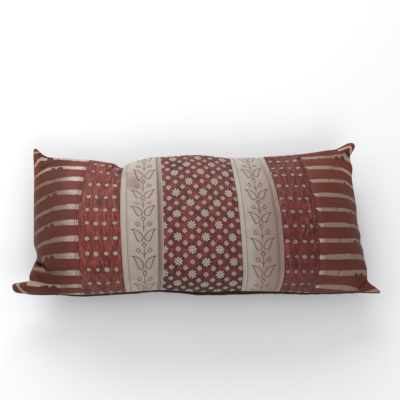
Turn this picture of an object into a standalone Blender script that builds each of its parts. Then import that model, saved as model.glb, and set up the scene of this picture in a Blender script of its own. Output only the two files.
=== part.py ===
"""A long patchwork cushion lying on its back, with two cream bands laid over its front.

The cover is described in the places of its cloth: how far along the cover, and what share of its
height up from the lower seam. The photo gave where the sewn lines run, how full the front is and
how far the corners stick out.
"""
import math
from collections import namedtuple

import bpy
import numpy as np

COVER_LENGTH = 0.800
COVER_HEIGHT = 0.390
HALF_LENGTH = COVER_LENGTH / 2
RIM_HALF = 0.0016

# Where each sewn line runs: its place on the flat cloth, then where it lies on the filled cushion.
SewnLine = namedtuple("SewnLine", "cloth low_x middle_x high_x low_y high_y crown")
SEWN_LINES = (
    SewnLine(-0.400, -0.374, -0.361, -0.367, 0.007, 0.306, 0.093),
    SewnLine(-0.252, -0.254, -0.267, -0.243, -0.003, 0.299, 0.093),
    SewnLine(-0.160, -0.166, -0.180, -0.170, 0.002, 0.291, 0.093),
    SewnLine(-0.072, -0.089, -0.089, -0.086, 0.006, 0.3045, 0.094),
    SewnLine(0.012, -0.004, -0.005, -0.008, 0.001, 0.312, 0.095),
    SewnLine(0.096, 0.084, 0.074, 0.069, 0.002, 0.305, 0.095),
    SewnLine(0.184, 0.168, 0.165, 0.146, 0.000, 0.308, 0.094),
    SewnLine(0.256, 0.241, 0.244, 0.226, -0.004, 0.313, 0.093),
    SewnLine(0.400, 0.368, 0.357, 0.341, 0.0015, 0.316, 0.093),
)
CLOTH = np.array([line.cloth for line in SEWN_LINES])
LOW_X = np.array([line.low_x for line in SEWN_LINES])
MIDDLE_X = np.array([line.middle_x for line in SEWN_LINES])
HIGH_X = np.array([line.high_x for line in SEWN_LINES])
LOW_Y = np.array([line.low_y for line in SEWN_LINES])
HIGH_Y = np.array([line.high_y for line in SEWN_LINES])
CROWN = np.array([line.crown for line in SEWN_LINES])

# Panels from left to right, with how many columns of faces each one gets.
Panel = namedtuple("Panel", "start end columns")
PANELS = (
    Panel(-0.400, -0.252, 13),
    Panel(-0.252, -0.160, 15),
    Panel(-0.160, -0.072, 9),
    Panel(-0.072, 0.096, 12),
    Panel(0.096, 0.184, 9),
    Panel(0.184, 0.256, 12),
    Panel(0.256, 0.400, 13),
)
CRINKLED = (PANELS[1], PANELS[5])
BANDS = {"band_left": PANELS[2], "band_right": PANELS[4]}
ROWS = 32

# How steeply the cloth leaves the side seams and how soon it levels off.
SIDE_STEEPNESS = 0.97
SIDE_REACH = 0.095
END_PANEL = 0.148

GROOVE_DEPTH = 0.0035
GROOVE_HALF_WIDTH = 0.008
GATHER_HEIGHT = 0.0013
GATHER_PITCH = 0.0123

BACK_ARC_DEGREES = 65.0
BACK_CROWN = 0.099
BACK_ROUND_FROM = 0.048
BACK_FLAT_FROM = 0.082

# The back touches what it lies on in its level middle and at four full places far apart.
REST_SPOTS = ((-0.24, -0.08), (-0.24, 0.05), (0.24, -0.08), (0.24, 0.05))
REST_MIDDLE = (0.0, -0.01)
REST_MIDDLE_RADIUS = 0.030
REST_HOLLOW = 0.0006

BAND_GAP = 0.0005
BAND_THICKNESS = 0.0013
BAND_END = 0.012

# Corners: the place on the cloth, how far the tip is pulled out, and how far in the pull is felt.
Ear = namedtuple("Ear", "cloth share out_x out_y out_z reach")
EARS = (
    Ear(-HALF_LENGTH, 1.0, 0.003, 0.021, 0.004, 0.017),
    Ear(-HALF_LENGTH, 0.0, -0.030, 0.002, 0.004, 0.024),
    Ear(HALF_LENGTH, 0.0, 0.023, -0.003, 0.004, 0.022),
    Ear(HALF_LENGTH, 1.0, 0.008, 0.020, 0.008, 0.019),
)

# Places where the cover is pulled in: where, how far it moves, and its reach along and up the cloth.
Dent = namedtuple("Dent", "cloth share move_x move_y move_z reach_x reach_y")
DENTS = (
    Dent(-0.163, 1.0, 0.000, -0.010, -0.006, 0.014, 0.050),
    Dent(0.170, 1.0, 0.000, -0.002, -0.002, 0.010, 0.030),
    Dent(-0.400, 0.16, 0.009, 0.000, -0.006, 0.040, 0.022),
    Dent(-0.150, 0.90, 0.000, 0.000, -0.005, 0.018, 0.045),
)


def smooth_through(knots, values, at):
    """A smooth curve through the values of a table."""
    slopes = np.gradient(values, knots)
    left = np.clip(np.searchsorted(knots, at, side="right") - 1, 0, len(knots) - 2)
    width = knots[left + 1] - knots[left]
    part = (at - knots[left]) / width
    rest = 1 - part
    from_left = (1 + 2 * part) * rest**2 * values[left] + part * rest**2 * width * slopes[left]
    from_right = (1 + 2 * rest) * part**2 * values[left + 1] - rest * part**2 * width * slopes[left + 1]
    return from_left + from_right


def running_sum(values):
    """Adds up the mean of each pair of neighbours, from nothing."""
    return np.concatenate([[0.0], np.cumsum((values[1:] + values[:-1]) / 2)])


def front_section():
    """The front from the lower seam to the upper one: full low down, long slope above."""
    share = np.linspace(0.0, 1.0, 401)
    tangent = np.radians(40 - 90 * share + 43 / (1 + np.exp((share - 0.19) / 0.025)))
    across = running_sum(np.cos(tangent))
    out = running_sum(np.sin(tangent))
    out = out - out[-1] * share
    return share, across / across[-1], out / out.max()


def back_section():
    """The back is an even arc, before its middle is pressed flat."""
    share = np.linspace(0.0, 1.0, 401)
    tangent = np.radians(BACK_ARC_DEGREES * (1 - 2 * share))
    across = running_sum(np.cos(tangent))
    out = running_sum(np.sin(tangent))
    return share, across / across[-1], out / out.max()


FRONT_SHARE, FRONT_ACROSS, FRONT_OUT = front_section()
BACK_SHARE, BACK_ACROSS, BACK_OUT = back_section()
SIDE_DISTANCE = np.linspace(0.0, END_PANEL, 201)
SIDE_LEVEL = running_sum(np.sqrt(1 - (SIDE_STEEPNESS * np.exp(-SIDE_DISTANCE / SIDE_REACH)) ** 2))
SIDE_LEVEL = SIDE_LEVEL / SIDE_LEVEL[-1]


def pressed_flat(depth):
    """Rounds the back off to one level where it rests."""
    span = BACK_FLAT_FROM - BACK_ROUND_FROM
    over = np.clip(depth - BACK_ROUND_FROM, 0.0, span)
    return np.minimum(depth, BACK_ROUND_FROM) + over - over**2 / (2 * span)


def place_along(cloth, share, bulge):
    """Left to right place of the cloth; near the side seams it climbs before it runs inward."""
    to_side = np.clip(HALF_LENGTH - np.abs(cloth), 0.0, END_PANEL)
    climbing = np.interp(to_side, SIDE_DISTANCE, SIDE_LEVEL)
    part = (1 - bulge) * to_side / END_PANEL + bulge * climbing
    moved = np.sign(cloth) * (HALF_LENGTH - part * END_PANEL)
    looked_up = np.where(np.abs(cloth) > HALF_LENGTH - END_PANEL, moved, cloth)
    low = smooth_through(CLOTH, LOW_X, looked_up)
    middle = smooth_through(CLOTH, MIDDLE_X, looked_up)
    high = smooth_through(CLOTH, HIGH_X, looked_up)
    up = 1 - share
    return low * up * (1 - 2 * share) + 4 * middle * share * up + high * share * (2 * share - 1)


def gathers(cloth, share):
    """Upright crinkles of the two dotted panels."""
    height = np.zeros_like(cloth)
    for panel in CRINKLED:
        inside = np.clip((cloth - panel.start) / 0.010, 0, 1) * np.clip((panel.end - cloth) / 0.010, 0, 1)
        wander = 1.1 * np.sin(5.0 * share + 30 * cloth) + 0.7 * np.sin(11.0 * share + 2.0)
        height += inside * np.sin(2 * math.pi * (cloth - panel.start) / GATHER_PITCH + wander)
    return GATHER_HEIGHT * height


def surface(cloth, share, is_front):
    """Places in metres of the front or the back, for arrays of places on the cloth."""
    to_side = HALF_LENGTH - np.abs(cloth)
    fullness = (1 - np.exp(-to_side / SIDE_REACH)) / (1 - math.exp(-HALF_LENGTH / SIDE_REACH))
    if is_front:
        across = np.interp(share, FRONT_SHARE, FRONT_ACROSS)
        out = np.interp(share, FRONT_SHARE, FRONT_OUT)
    else:
        across = np.interp(share, BACK_SHARE, BACK_ACROSS)
        out = np.interp(share, BACK_SHARE, BACK_OUT)
    blend = np.clip(fullness, 0.0, 1.0)
    low = smooth_through(CLOTH, LOW_Y, cloth)
    high = smooth_through(CLOTH, HIGH_Y, cloth)
    x = place_along(cloth, share, out)
    y = low + (high - low) * ((1 - blend) * share + blend * across)
    if is_front:
        z = smooth_through(CLOTH, CROWN, cloth) * blend * out + RIM_HALF
        held = np.clip(blend * out * 2.5, 0.0, 1.0)
        for line in SEWN_LINES[1:-1]:
            if line.cloth != 0.012:
                z -= GROOVE_DEPTH * held * np.exp(-((cloth - line.cloth) / GROOVE_HALF_WIDTH) ** 2)
        z += gathers(cloth, share) * held
    else:
        z = -pressed_flat(BACK_CROWN * blend * out) - RIM_HALF
    for dent in DENTS:
        away_x = (cloth - dent.cloth) / dent.reach_x
        away_y = (share - dent.share) * COVER_HEIGHT / dent.reach_y
        felt = np.exp(-(away_x**2) - away_y**2)
        x = x + dent.move_x * felt
        y = y + dent.move_y * felt
        if is_front:
            z = z + dent.move_z * felt * np.clip(blend * out * 3, 0, 1)
    for ear in EARS:
        away = np.hypot(cloth - ear.cloth, (share - ear.share) * COVER_HEIGHT)
        felt = np.exp(-((away / ear.reach) ** 1.4))
        x = x + ear.out_x * felt
        y = y + ear.out_y * felt
        z = z + ear.out_z * felt
    return np.stack([x, y, z], axis=-1)


def column_places():
    """Columns of faces: close together at the side seams, even elsewhere."""
    places = []
    for panel in PANELS:
        steps = np.arange(panel.columns) / panel.columns
        if panel is PANELS[0]:
            steps = steps**1.35
        if panel is PANELS[-1]:
            steps = 1 - (1 - steps) ** 1.35
        places.extend(panel.start + (panel.end - panel.start) * steps)
    places.append(HALF_LENGTH)
    return np.array(places)


def row_places():
    """Rows of faces: close together at the lower seam, where the front turns most."""
    steps = np.arange(ROWS + 1) / ROWS
    return steps - 0.075 * np.sin(2 * math.pi * steps)


def rest_evenly(back):
    """Hollows the level back a hair between the places it stands on, so that it does not rock."""
    lowest = back[..., 2].min()
    from_middle = np.linalg.norm(back[..., :2] - REST_MIDDLE, axis=-1)
    hollow = REST_HOLLOW * np.clip(from_middle / REST_MIDDLE_RADIUS - 1, 0.0, 1.0)
    back[..., 2] = np.maximum(back[..., 2], lowest + hollow)
    for spot in REST_SPOTS:
        away = np.linalg.norm(back[..., :2] - spot, axis=-1)
        back[np.unravel_index(np.argmin(away), away.shape)][2] = lowest


def make_object(name, vertices, faces, colour, roughness):
    """One closed solid with its own material."""
    mesh = bpy.data.meshes.new(name)
    mesh.from_pydata([tuple(point) for point in vertices], [], faces)
    mesh.update()
    item = bpy.data.objects.new(name, mesh)
    bpy.context.scene.collection.objects.link(item)
    material = bpy.data.materials.new(name + "_cloth")
    material.use_nodes = True
    shader = material.node_tree.nodes["Principled BSDF"]
    shader.inputs["Base Color"].default_value = (*colour, 1.0)
    shader.inputs["Roughness"].default_value = roughness
    mesh.materials.append(material)
    for polygon in mesh.polygons:
        polygon.use_smooth = True
    return item


def closed_between(top, bottom):
    """Corners and faces of the solid between two grids of the same size, with a wall round the rim."""
    across, up = top.shape[:2]
    vertices = np.concatenate([top.reshape(-1, 3), bottom.reshape(-1, 3)])
    under = across * up
    faces = []
    for i in range(across - 1):
        for j in range(up - 1):
            a = i * up + j
            b = (i + 1) * up + j
            faces.append((a, b, b + 1, a + 1))
            faces.append((under + a, under + a + 1, under + b + 1, under + b))
    rim = [i * up for i in range(across)]
    rim += [(across - 1) * up + j for j in range(1, up)]
    rim += [i * up + up - 1 for i in range(across - 2, -1, -1)]
    rim += [j for j in range(up - 2, 0, -1)]
    for here, after in zip(rim, rim[1:] + rim[:1]):
        faces.append((here, under + here, under + after, after))
    return vertices, faces


def outward(grid):
    """Directions out of a grid of places, one for each place."""
    along = np.gradient(grid, axis=0)
    up = np.gradient(grid, axis=1)
    out = np.cross(along, up)
    return out / np.linalg.norm(out, axis=-1, keepdims=True)


def build():
    """Makes the cover and the two bands, resting on the level floor."""
    for old in list(bpy.data.objects):
        bpy.data.objects.remove(old, do_unlink=True)
    columns = column_places()
    rows = row_places()
    cloth, share = np.meshgrid(columns, rows, indexing="ij")
    front = surface(cloth, share, True)
    back = surface(cloth, share, False)
    everything = np.concatenate([front.reshape(-1, 3), back.reshape(-1, 3)])
    low = everything.min(axis=0)
    high = everything.max(axis=0)
    shift = np.array([-(low[0] + high[0]) / 2, -(low[1] + high[1]) / 2, -low[2]])
    front += shift
    back += shift
    rest_evenly(back)
    vertices, faces = closed_between(front, back)
    make_object("cushion", vertices, faces, (0.17, 0.055, 0.047), 0.75)
    out = outward(front)
    kept_rows = [j for j, place in enumerate(rows) if BAND_END < place < 1 - BAND_END]
    for name, panel in BANDS.items():
        kept = [i for i, place in enumerate(columns) if panel.start - 1e-6 < place < panel.end + 1e-6]
        under = front[np.ix_(kept, kept_rows)]
        direction = out[np.ix_(kept, kept_rows)]
        bottom = under + BAND_GAP * direction
        top = under + (BAND_GAP + BAND_THICKNESS) * direction
        vertices, faces = closed_between(top, bottom)
        make_object(name, vertices, faces, (0.33, 0.28, 0.25), 0.6)


build()
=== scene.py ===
"""The looks of the patchwork cushion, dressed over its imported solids.

The cover is built again from the same named places as the solids, but finely: every cloth of the
patchwork is its own thin shell, with the crinkles, laps, puckers and folds that the photo shows.
All patterns are sums on the places of the cloth, in millimetres.
"""
import math
from collections import namedtuple

import bpy
import numpy as np
from mathutils import Matrix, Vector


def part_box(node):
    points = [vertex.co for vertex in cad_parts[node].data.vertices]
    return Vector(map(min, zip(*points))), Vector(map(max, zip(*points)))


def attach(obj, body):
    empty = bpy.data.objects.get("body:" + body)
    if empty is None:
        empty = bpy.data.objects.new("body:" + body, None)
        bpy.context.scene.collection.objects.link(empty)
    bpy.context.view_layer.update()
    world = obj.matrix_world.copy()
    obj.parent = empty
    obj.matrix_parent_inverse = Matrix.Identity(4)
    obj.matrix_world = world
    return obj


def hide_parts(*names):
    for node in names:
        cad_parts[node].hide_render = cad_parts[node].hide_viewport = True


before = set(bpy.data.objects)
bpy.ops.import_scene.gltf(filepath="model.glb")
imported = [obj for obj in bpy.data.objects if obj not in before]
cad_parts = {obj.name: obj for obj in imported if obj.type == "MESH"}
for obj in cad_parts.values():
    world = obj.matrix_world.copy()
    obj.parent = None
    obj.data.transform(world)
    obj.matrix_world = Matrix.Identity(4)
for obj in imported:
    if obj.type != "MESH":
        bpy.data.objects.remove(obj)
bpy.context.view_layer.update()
MM = 0.001

# The form of the cover, as in the solids.

COVER_HEIGHT = 0.39
HALF_LENGTH = 0.4
RIM_HALF = 0.0016
RIM_ROUND = 0.003

# Where each sewn line runs: its place on the flat cloth, then where it lies on the filled cushion.
SewnLine = namedtuple("SewnLine", "cloth low_x middle_x high_x low_y high_y crown")
SEWN_LINES = (
    SewnLine(-0.4, -0.374, -0.361, -0.367, 0.007, 0.306, 0.093),
    SewnLine(-0.252, -0.254, -0.267, -0.243, -0.003, 0.299, 0.093),
    SewnLine(-0.16, -0.166, -0.18, -0.17, 0.002, 0.291, 0.093),
    SewnLine(-0.072, -0.089, -0.089, -0.086, 0.006, 0.3045, 0.094),
    SewnLine(0.012, -0.004, -0.005, -0.008, 0.001, 0.312, 0.095),
    SewnLine(0.096, 0.084, 0.074, 0.069, 0.002, 0.305, 0.095),
    SewnLine(0.184, 0.168, 0.165, 0.146, 0, 0.308, 0.094),
    SewnLine(0.256, 0.241, 0.244, 0.226, -0.004, 0.313, 0.093),
    SewnLine(0.4, 0.368, 0.357, 0.341, 0.0015, 0.316, 0.093),
)
MIDDLE_OF_CENTRE = 0.012
CLOTH, LOW_X, MIDDLE_X, HIGH_X, LOW_Y, HIGH_Y, CROWN = np.array(SEWN_LINES).T

SIDE_STEEPNESS = 0.97
SIDE_REACH = 0.095
END_PANEL = 0.148
GROOVE_DEPTH = 0.0035
GROOVE_HALF_WIDTH = 0.008
BACK_ARC_DEGREES = 65
BACK_CROWN = 0.099
BACK_ROUND_FROM = 0.048
BACK_FLAT_FROM = 0.082

# Corners, in millimetres: place on the cloth, how far the tip is pulled out, how far in the pull is
# felt along the edge and up the side, how far up the side the tip is lifted, how suddenly each ends,
# how round the tip is and how thick its stuffing.
Ear = namedtuple(
    "Ear", "cloth share out_x out_y out_z along up lifted along_power up_power tip_radius stuffing"
)
EARS = (
    Ear(-400, 1, -1, 21.5, 4, 23, 21.5, 21.5, 2, 2, 15, 6),
    Ear(-400, 0, -35, -2, 6, 50, 25.8, 25.8, 3, 16, 18, 9),
    Ear(400, 0, 26, -4, 4, 26, 19.5, 19.5, 2.7, 2.7, 4, 2),
    Ear(400, 1, 16, 14.5, 10, 28, 21.5, 28, 4, 5, 14, 9),
)
# Dents and swells, in millimetres: where they lie, how far they move the cloth and how far they reach.
Dent = namedtuple("Dent", "cloth share move_x move_y move_z reach_x reach_y")
DENTS = (
    Dent(-163, 1, 0, -10, -6, 14, 50),
    Dent(170, 1, 0, -2, -2, 10, 30),
    Dent(-100, 1, 0, 4.5, 0, 35, 50),
    Dent(365, 1, 0, 10.5, 0, 75, 50),
    Dent(-150, 0.9, 0, 0, -5, 18, 45),
    Dent(-400, 0.62, -4, 0, 0, 50, 95),
    Dent(-400, 0.245, 9.5, 0, -6, 40, 25),
    Dent(-400, 0.11, -2.5, 0, 0, 30, 12),
    Dent(-370, 0, 0, -3, 0, 35, 40),
    Dent(385, 0, 0, -4.5, 0, 50, 40),
    Dent(400, 0.885, 6, 0, 0, 40, 20),
    Dent(390, 0.49, -4, 0, 0, 50, 28),
    Dent(390, 0.345, -2.8, 0, 0, 50, 16),
    Dent(400, 0.15, 3, 0, 0, 40, 18),
)


def part_of(value):
    """The value, kept between 0 and 1."""
    return np.clip(value, 0, 1)


def bell(away):
    """1 in the middle, falling off smoothly on both sides."""
    return np.exp(-(away**2))


def eased(part):
    """A share that starts and ends slowly."""
    return part**2 * (3 - 2 * part)


def smooth_through(knots, values, at):
    """A smooth curve through the values of a table."""
    slopes = np.gradient(values, knots)
    left = np.clip(np.searchsorted(knots, at, side="right") - 1, 0, len(knots) - 2)
    width = knots[left + 1] - knots[left]
    part = (at - knots[left]) / width
    rest = 1 - part
    from_left = (1 + 2 * part) * rest**2 * values[left] + part * rest**2 * width * slopes[left]
    from_right = (1 + 2 * rest) * part**2 * values[left + 1] - rest * part**2 * width * slopes[left + 1]
    return from_left + from_right


def running_sum(values):
    """Adds up the mean of each pair of neighbours, from nothing."""
    return np.concatenate([[0], np.cumsum((values[1:] + values[:-1]) / 2)])


def section(tangent):
    """How far across and how far out a section has run at each share, from its slopes."""
    across = running_sum(np.cos(tangent))
    out = running_sum(np.sin(tangent))
    out = out - out[-1] * SHARES
    return across / across[-1], out / out.max()


# The front is full low down, with a long slope above. The back is an even arc.
SHARES = np.linspace(0, 1, 401)
FRONT_ACROSS, FRONT_OUT = section(np.radians(40 - 90 * SHARES + 43 / (1 + np.exp((SHARES - 0.19) / 0.025))))
BACK_ACROSS, BACK_OUT = section(np.radians(BACK_ARC_DEGREES * (1 - 2 * SHARES)))
SIDE_DISTANCE = np.linspace(0, END_PANEL, 201)
SIDE_LEVEL = running_sum(np.sqrt(1 - (SIDE_STEEPNESS * np.exp(-SIDE_DISTANCE / SIDE_REACH))**2))
SIDE_LEVEL = SIDE_LEVEL / SIDE_LEVEL[-1]


def pressed_flat(depth):
    """Rounds the back off to one level where it rests."""
    span = BACK_FLAT_FROM - BACK_ROUND_FROM
    over = np.clip(depth - BACK_ROUND_FROM, 0, span)
    return np.minimum(depth, BACK_ROUND_FROM) + over - over**2 / (2 * span)


def place_along(cloth, share, bulge):
    """Left to right place of the cloth; near the side seams it climbs before it runs inward."""
    to_side = np.clip(HALF_LENGTH - np.abs(cloth), 0, END_PANEL)
    climbing = np.interp(to_side, SIDE_DISTANCE, SIDE_LEVEL)
    part = (1 - bulge) * to_side / END_PANEL + bulge * climbing
    moved = np.sign(cloth) * (HALF_LENGTH - part * END_PANEL)
    looked_up = np.where(np.abs(cloth) > HALF_LENGTH - END_PANEL, moved, cloth)
    low = smooth_through(CLOTH, LOW_X, looked_up)
    middle = smooth_through(CLOTH, MIDDLE_X, looked_up)
    high = smooth_through(CLOTH, HIGH_X, looked_up)
    up = 1 - share
    return low * up * (1 - 2 * share) + 4 * middle * share * up + high * share * (2 * share - 1)


def surface(cloth, share, is_front):
    """Places in metres of the front or the back, for arrays of places on the cloth."""
    to_side = HALF_LENGTH - np.abs(cloth)
    fullness = (1 - np.exp(-to_side / SIDE_REACH)) / (1 - math.exp(-HALF_LENGTH / SIDE_REACH))
    across_at, out_at = (FRONT_ACROSS, FRONT_OUT) if is_front else (BACK_ACROSS, BACK_OUT)
    across = np.interp(share, SHARES, across_at)
    out = np.interp(share, SHARES, out_at)
    blend = part_of(fullness)
    low = smooth_through(CLOTH, LOW_Y, cloth)
    high = smooth_through(CLOTH, HIGH_Y, cloth)
    x = place_along(cloth, share, out)
    y = low + (high - low) * ((1 - blend) * share + blend * across)
    if is_front:
        z = smooth_through(CLOTH, CROWN, cloth) * blend * out + RIM_HALF
        held = part_of(blend * out * 2.5)
        for line in SEWN_LINES[1:-1]:
            if line.cloth != MIDDLE_OF_CENTRE:
                z -= GROOVE_DEPTH * held * bell((cloth - line.cloth) / GROOVE_HALF_WIDTH)
    else:
        z = -pressed_flat(BACK_CROWN * blend * out) - RIM_HALF
    for dent in DENTS:
        away_x = (cloth / MM - dent.cloth) / dent.reach_x
        away_y = (share - dent.share) * COVER_HEIGHT / MM / dent.reach_y
        felt = bell(np.hypot(away_x, away_y)) * MM
        x = x + dent.move_x * felt
        y = y + dent.move_y * felt
        if is_front:
            z = z + dent.move_z * felt * part_of(blend * out * 3)
    for ear in EARS:
        away_x = (np.abs(cloth / MM - ear.cloth) / ear.along)**ear.along_power
        away_y = np.abs(share - ear.share) * COVER_HEIGHT / MM
        felt = np.exp(-np.minimum(away_x + (away_y / ear.up)**ear.up_power, 50)) * MM
        lifted = np.exp(-np.minimum(away_x + (away_y / ear.lifted)**ear.up_power, 50)) * MM
        stuffed = ear.stuffing * felt * np.sqrt(part_of(to_rim(cloth, share) / 0.012))
        x = x + ear.out_x * felt
        y = y + ear.out_y * lifted
        z = z + ear.out_z * felt + (stuffed if is_front else -stuffed)
    return np.stack([x, y, z], axis=-1)


def to_rim(cloth, share):
    """Distance from the nearest edge seam."""
    return np.minimum(np.minimum(share, 1 - share) * COVER_HEIGHT, HALF_LENGTH - np.abs(cloth))


def rounded_corners(cloth, share):
    """The places of the cloth once the tips of its corners are rounded."""
    for ear in EARS:
        radius = ear.tip_radius * MM
        side = math.copysign(1, ear.cloth)
        level = 1 if ear.share > 0.5 else -1
        past_x = np.clip(side * cloth - HALF_LENGTH + radius, 0, radius)
        past_y = np.clip(level * (share - 0.5) * COVER_HEIGHT - COVER_HEIGHT / 2 + radius, 0, radius)
        longest = np.maximum(past_x, past_y)
        scale = 1 - longest / np.maximum(np.hypot(past_x, past_y), 1e-9)
        cloth = cloth - side * past_x * scale
        share = share - level * past_y * scale / COVER_HEIGHT
    return cloth, share


# The deep crease above the lower left corner, where the fuller cloth over it hangs out: its path in
# from the side seam, then how far it is felt, how deep it is and how much the cloth over it sags.
CREASE_FROM_LEFT = (0, 0.017, 0.046, 0.056, 0.075, 0.1, 0.126)
CREASE_SHARES = (0.228, 0.232, 0.238, 0.21, 0.2, 0.212, 0.226)
CREASE_REACH = 0.072
CREASE_DEPTH = 0.018
CREASE_LIP = 0.0075


def creased(cloth, share, places):
    """Presses the crease in and lets the cloth above it sag over."""
    from_left = cloth + HALF_LENGTH
    above = (share - np.interp(from_left, CREASE_FROM_LEFT, CREASE_SHARES)) * COVER_HEIGHT
    strength = bell(from_left / CREASE_REACH)
    valley = strength * bell((above + 0.003) / np.where(above < -0.003, 0.01, 0.0045))
    lip = strength * bell((above - 0.005) / 0.0085)
    swell = strength * bell((above - 0.02) / 0.014)
    held = np.clip(from_left / 0.012, 0.25, 1)
    places[..., 0] += 0.004 * valley
    places[..., 1] -= CREASE_LIP * lip
    places[..., 2] += (0.003 * swell - CREASE_DEPTH * valley) * held
    return places


def dressed(cloth, share, is_front):
    """The cover's places with its rounded corners and its crease."""
    places = surface(*rounded_corners(cloth, share), is_front)
    return creased(cloth, share, places) if is_front else places


def shift_to_frame():
    """How far the cover moves from its seam lines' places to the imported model's."""
    along = np.linspace(-HALF_LENGTH, HALF_LENGTH, 161)
    cloth, share = np.meshgrid(along, np.linspace(0, 1, 81), indexing="ij")
    both = np.concatenate([dressed(cloth, share, side).reshape(-1, 3) for side in (True, False)])
    low, high = np.array(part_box("cushion"))
    shift = (low + high - both.min(axis=0) - both.max(axis=0)) / 2
    shift[2] = low[2] - both[:, 2].min()
    return shift


SHIFT = shift_to_frame()

# The camera and the light.

CAMERA_DISTANCE = 2.3
FRAME_WIDTH = 0.888
BELOW_NORMAL = math.radians(15)
TO_THE_LEFT = math.radians(6.6)
AIMED_AT = np.array([0, 0.2073, 0]) + SHIFT


def stand(item, place, toward, right):
    """Puts a camera or a lamp at its place, with its back toward a direction."""
    toward = toward / np.linalg.norm(toward)
    right = right - (right @ toward) * toward
    right /= np.linalg.norm(right)
    up = np.cross(toward, right)
    rows = [[right[i], up[i], toward[i], place[i]] for i in range(3)] + [[0, 0, 0, 1]]
    item.matrix_world = Matrix(rows)
    bpy.context.scene.collection.objects.link(item)


def make_camera():
    """Looks at the face from a little below its middle and a little to the left, held level."""
    out = math.cos(BELOW_NORMAL)
    toward = np.array([-math.sin(TO_THE_LEFT) * out, -math.sin(BELOW_NORMAL), math.cos(TO_THE_LEFT) * out])
    data = bpy.data.cameras.new("photo_camera")
    data.sensor_width = 36
    data.lens = data.sensor_width * CAMERA_DISTANCE / FRAME_WIDTH
    camera = bpy.data.objects.new("photo_camera", data)
    stand(camera, AIMED_AT + toward * CAMERA_DISTANCE, toward, np.array([1, 0, 0]))
    bpy.context.scene.camera = camera


# Area lights: where they stand, what they point at, how wide they are and how strong.
Lamp = namedtuple("Lamp", "name place aim width height power")
LAMPS = (
    Lamp("window_above", (-0.8, 2.5, 1.45), (0, 0, 0), 2.2, 1.4, 66),
    Lamp("soft_left", (-2.2, 0.3, 1.5), (0, 0, 0.05), 1.6, 1.6, 14),
    Lamp("soft_below", (0.5, -2.2, 2), (0.1, -0.4, 0), 2.4, 1.6, 27),
)
SKY_STRENGTH = 0.5


def make_light():
    """A window above the head of the cushion, a softer one at its left, and an even sky."""
    for lamp in LAMPS:
        data = bpy.data.lights.new(lamp.name, "AREA")
        data.shape = "RECTANGLE"
        data.size = lamp.width
        data.size_y = lamp.height
        data.energy = lamp.power
        toward = np.array(lamp.place) - lamp.aim
        stand(bpy.data.objects.new(lamp.name, data), lamp.place, toward, np.cross([0, 0, 1], toward))
    world = bpy.data.worlds.new("studio")
    bpy.context.scene.world = world
    world.use_nodes = True
    background = world.node_tree.nodes["Background"]
    background.inputs["Color"].default_value = (0.97, 0.98, 1.0, 1.0)
    background.inputs["Strength"].default_value = SKY_STRENGTH
    bpy.context.scene.view_settings.view_transform = "Standard"


def make_floor():
    """A plain pale floor under the cushion."""
    half = 4
    mesh = bpy.data.meshes.new("floor")
    corners = [(-half, -half, 0), (half, -half, 0), (half, half, 0), (-half, half, 0)]
    mesh.from_pydata(corners, [], [(0, 1, 2, 3)])
    floor = bpy.data.objects.new("floor", mesh)
    bpy.context.scene.collection.objects.link(floor)
    mesh.materials.append(Recipe("floor_paint", roughness=0.7, sheen=0.0).finish((245.8, 245.8, 246.4)))


# Sums for materials. Colours are triples as seen on a screen, from 0 to 255.


def shade(tone):
    """A colour as it is seen on a screen, turned into the light it gives back."""
    parts = [value / 255 for value in tone]
    return (*(v / 12.92 if v <= 0.04045 else ((v + 0.055) / 1.055)**2.4 for v in parts), 1)


def operation(kind, swapped=False):
    """A sum that is done at each point of a cloth."""

    def run(self, *others):
        return self.recipe.sum_of(kind, *((*others, self) if swapped else (self, *others)))

    return run


class Term:
    """A number or a colour at each point of a cloth, on which ordinary sums can be done."""

    def __init__(self, recipe, socket):
        self.recipe = recipe
        self.socket = socket

    __add__ = __radd__ = operation("ADD")
    __mul__ = __rmul__ = operation("MULTIPLY")
    __sub__ = operation("SUBTRACT")
    __rsub__ = operation("SUBTRACT", swapped=True)
    __truediv__ = operation("DIVIDE")
    __pow__ = operation("POWER")
    __abs__ = operation("ABSOLUTE")
    nearest = operation("ROUND")
    wrapped = operation("FLOORED_MODULO")
    largest = operation("MAXIMUM")
    smallest = operation("MINIMUM")
    exponential = operation("EXPONENT")
    angle_from = operation("ARCTAN2")

    def above(self, limit, soft):
        """1 where the number is over the limit, with an edge as wide as soft."""
        return self.recipe.node("Clamp", {"Value": (self - limit) * (1 / soft) + 0.5})

    def below(self, limit, soft):
        """1 where the number is under the limit."""
        return 1 - self.above(limit, soft)

    def ramp(self, low, high):
        """Runs smoothly from 0 at low to 1 at high."""
        inputs = {"Value": self, "From Min": low, "From Max": high}
        return self.recipe.node("MapRange", inputs, interpolation_type="SMOOTHSTEP")

    def blend(self, first, second):
        """Goes from the first colour, where the number is 0, to the second, where it is 1."""
        return self.recipe.node("Mix", {"Factor": self, 6: first, 7: second}, 2, data_type="RGBA")

    def coated(self, *coats):
        """This colour under coats of others, each with how much of it shows."""
        colour = self
        for tone, part in coats:
            colour = part.blend(colour, tone)
        return colour

    def brighter(self, amount):
        """This colour times a number at each point."""
        return self.recipe.brightened(self, amount)


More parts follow.
